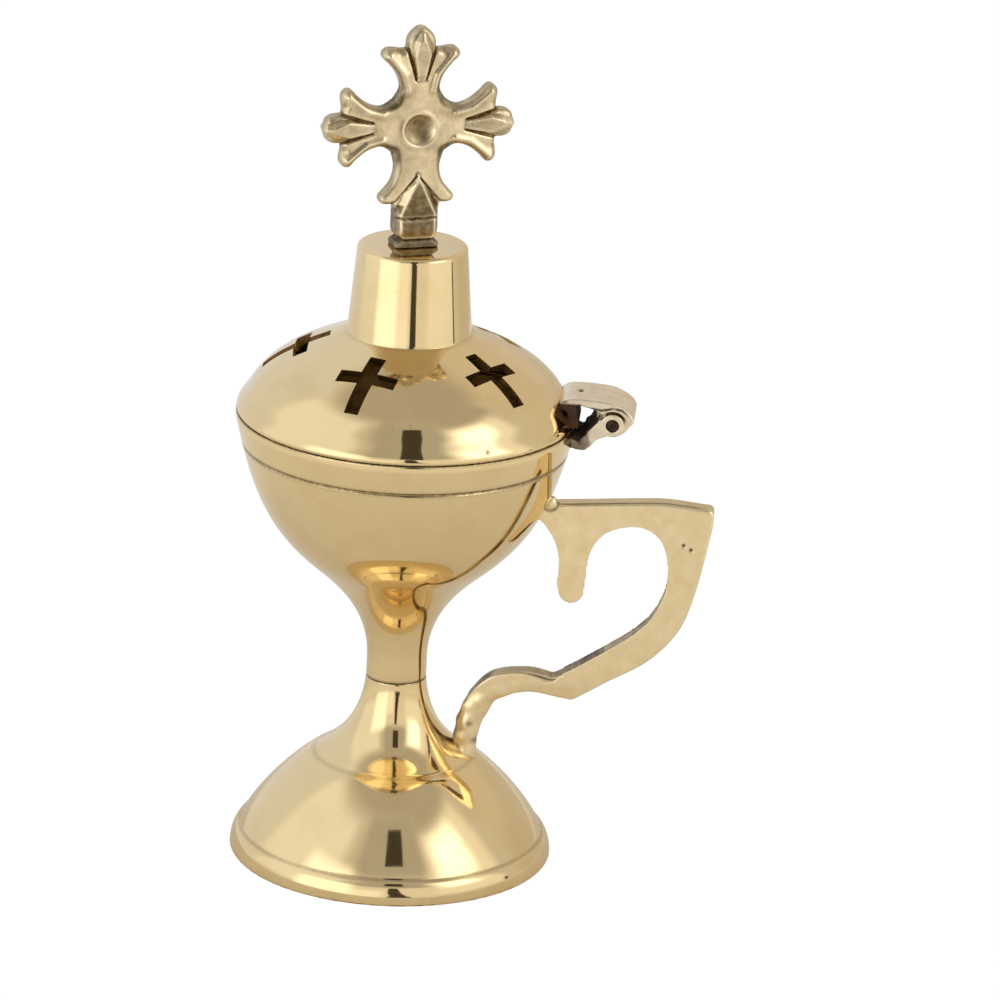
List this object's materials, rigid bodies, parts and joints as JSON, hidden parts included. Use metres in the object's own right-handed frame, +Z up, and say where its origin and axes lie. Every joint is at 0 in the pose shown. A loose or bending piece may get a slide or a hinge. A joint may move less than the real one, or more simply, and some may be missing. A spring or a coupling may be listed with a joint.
{
  "type": "hand censer",
  "caption": "Footed brass hand censer: turned bowl for charcoal and incense, hinged domed lid with pierced crosses and a cross finial, and a flat cast side handle with a finger loop.",
  "frame": {"origin": "on the ground at the middle of the whole censer's box; the turned axis of foot, bowl and lid stands 14.05 mm from it towards -X", "axes": "+Z up along the turned axis, +X from the bowl towards the hinge and the handle, +Y to the left of someone who looks along +X"},
  "size_m": [0.0952, 0.0672, 0.1711],
  "materials": {
    "polished_brass": "mirror polished",
    "cast_brass": "antiqued casting, dark in the recesses",
    "steel": "plain",
    "tinned_iron": "dull, darkened by heat"
  },
  "bodies": {
    "base": {"foot": "polished_brass", "bowl": "polished_brass", "foot_bolt": "steel", "foot_washer": "steel", "handle": "polished_brass", "bowl_hinge_leaf": "cast_brass", "hinge_pin": "steel"},
    "lid_assembly": {"lid": "polished_brass", "lid_hinge_leaf": "cast_brass", "cross_finial": "cast_brass", "finial_screw": "steel", "finial_washer": "steel"},
    "cup": {"charcoal_cup": "tinned_iron"}
  },
  "joints": [
    {"name": "lid_hinge", "type": "hinge", "parent": "base", "child": "lid_assembly", "pos_m": [0.0269, 0, 0.0937], "axis": [0, 1, 0], "range_deg": [0, 115]},
    {"name": "charcoal_cup_lift", "type": "slide", "parent": "base", "child": "cup", "axis": [0, 0, 1], "range_m": [0, 0.016]}
  ]
}
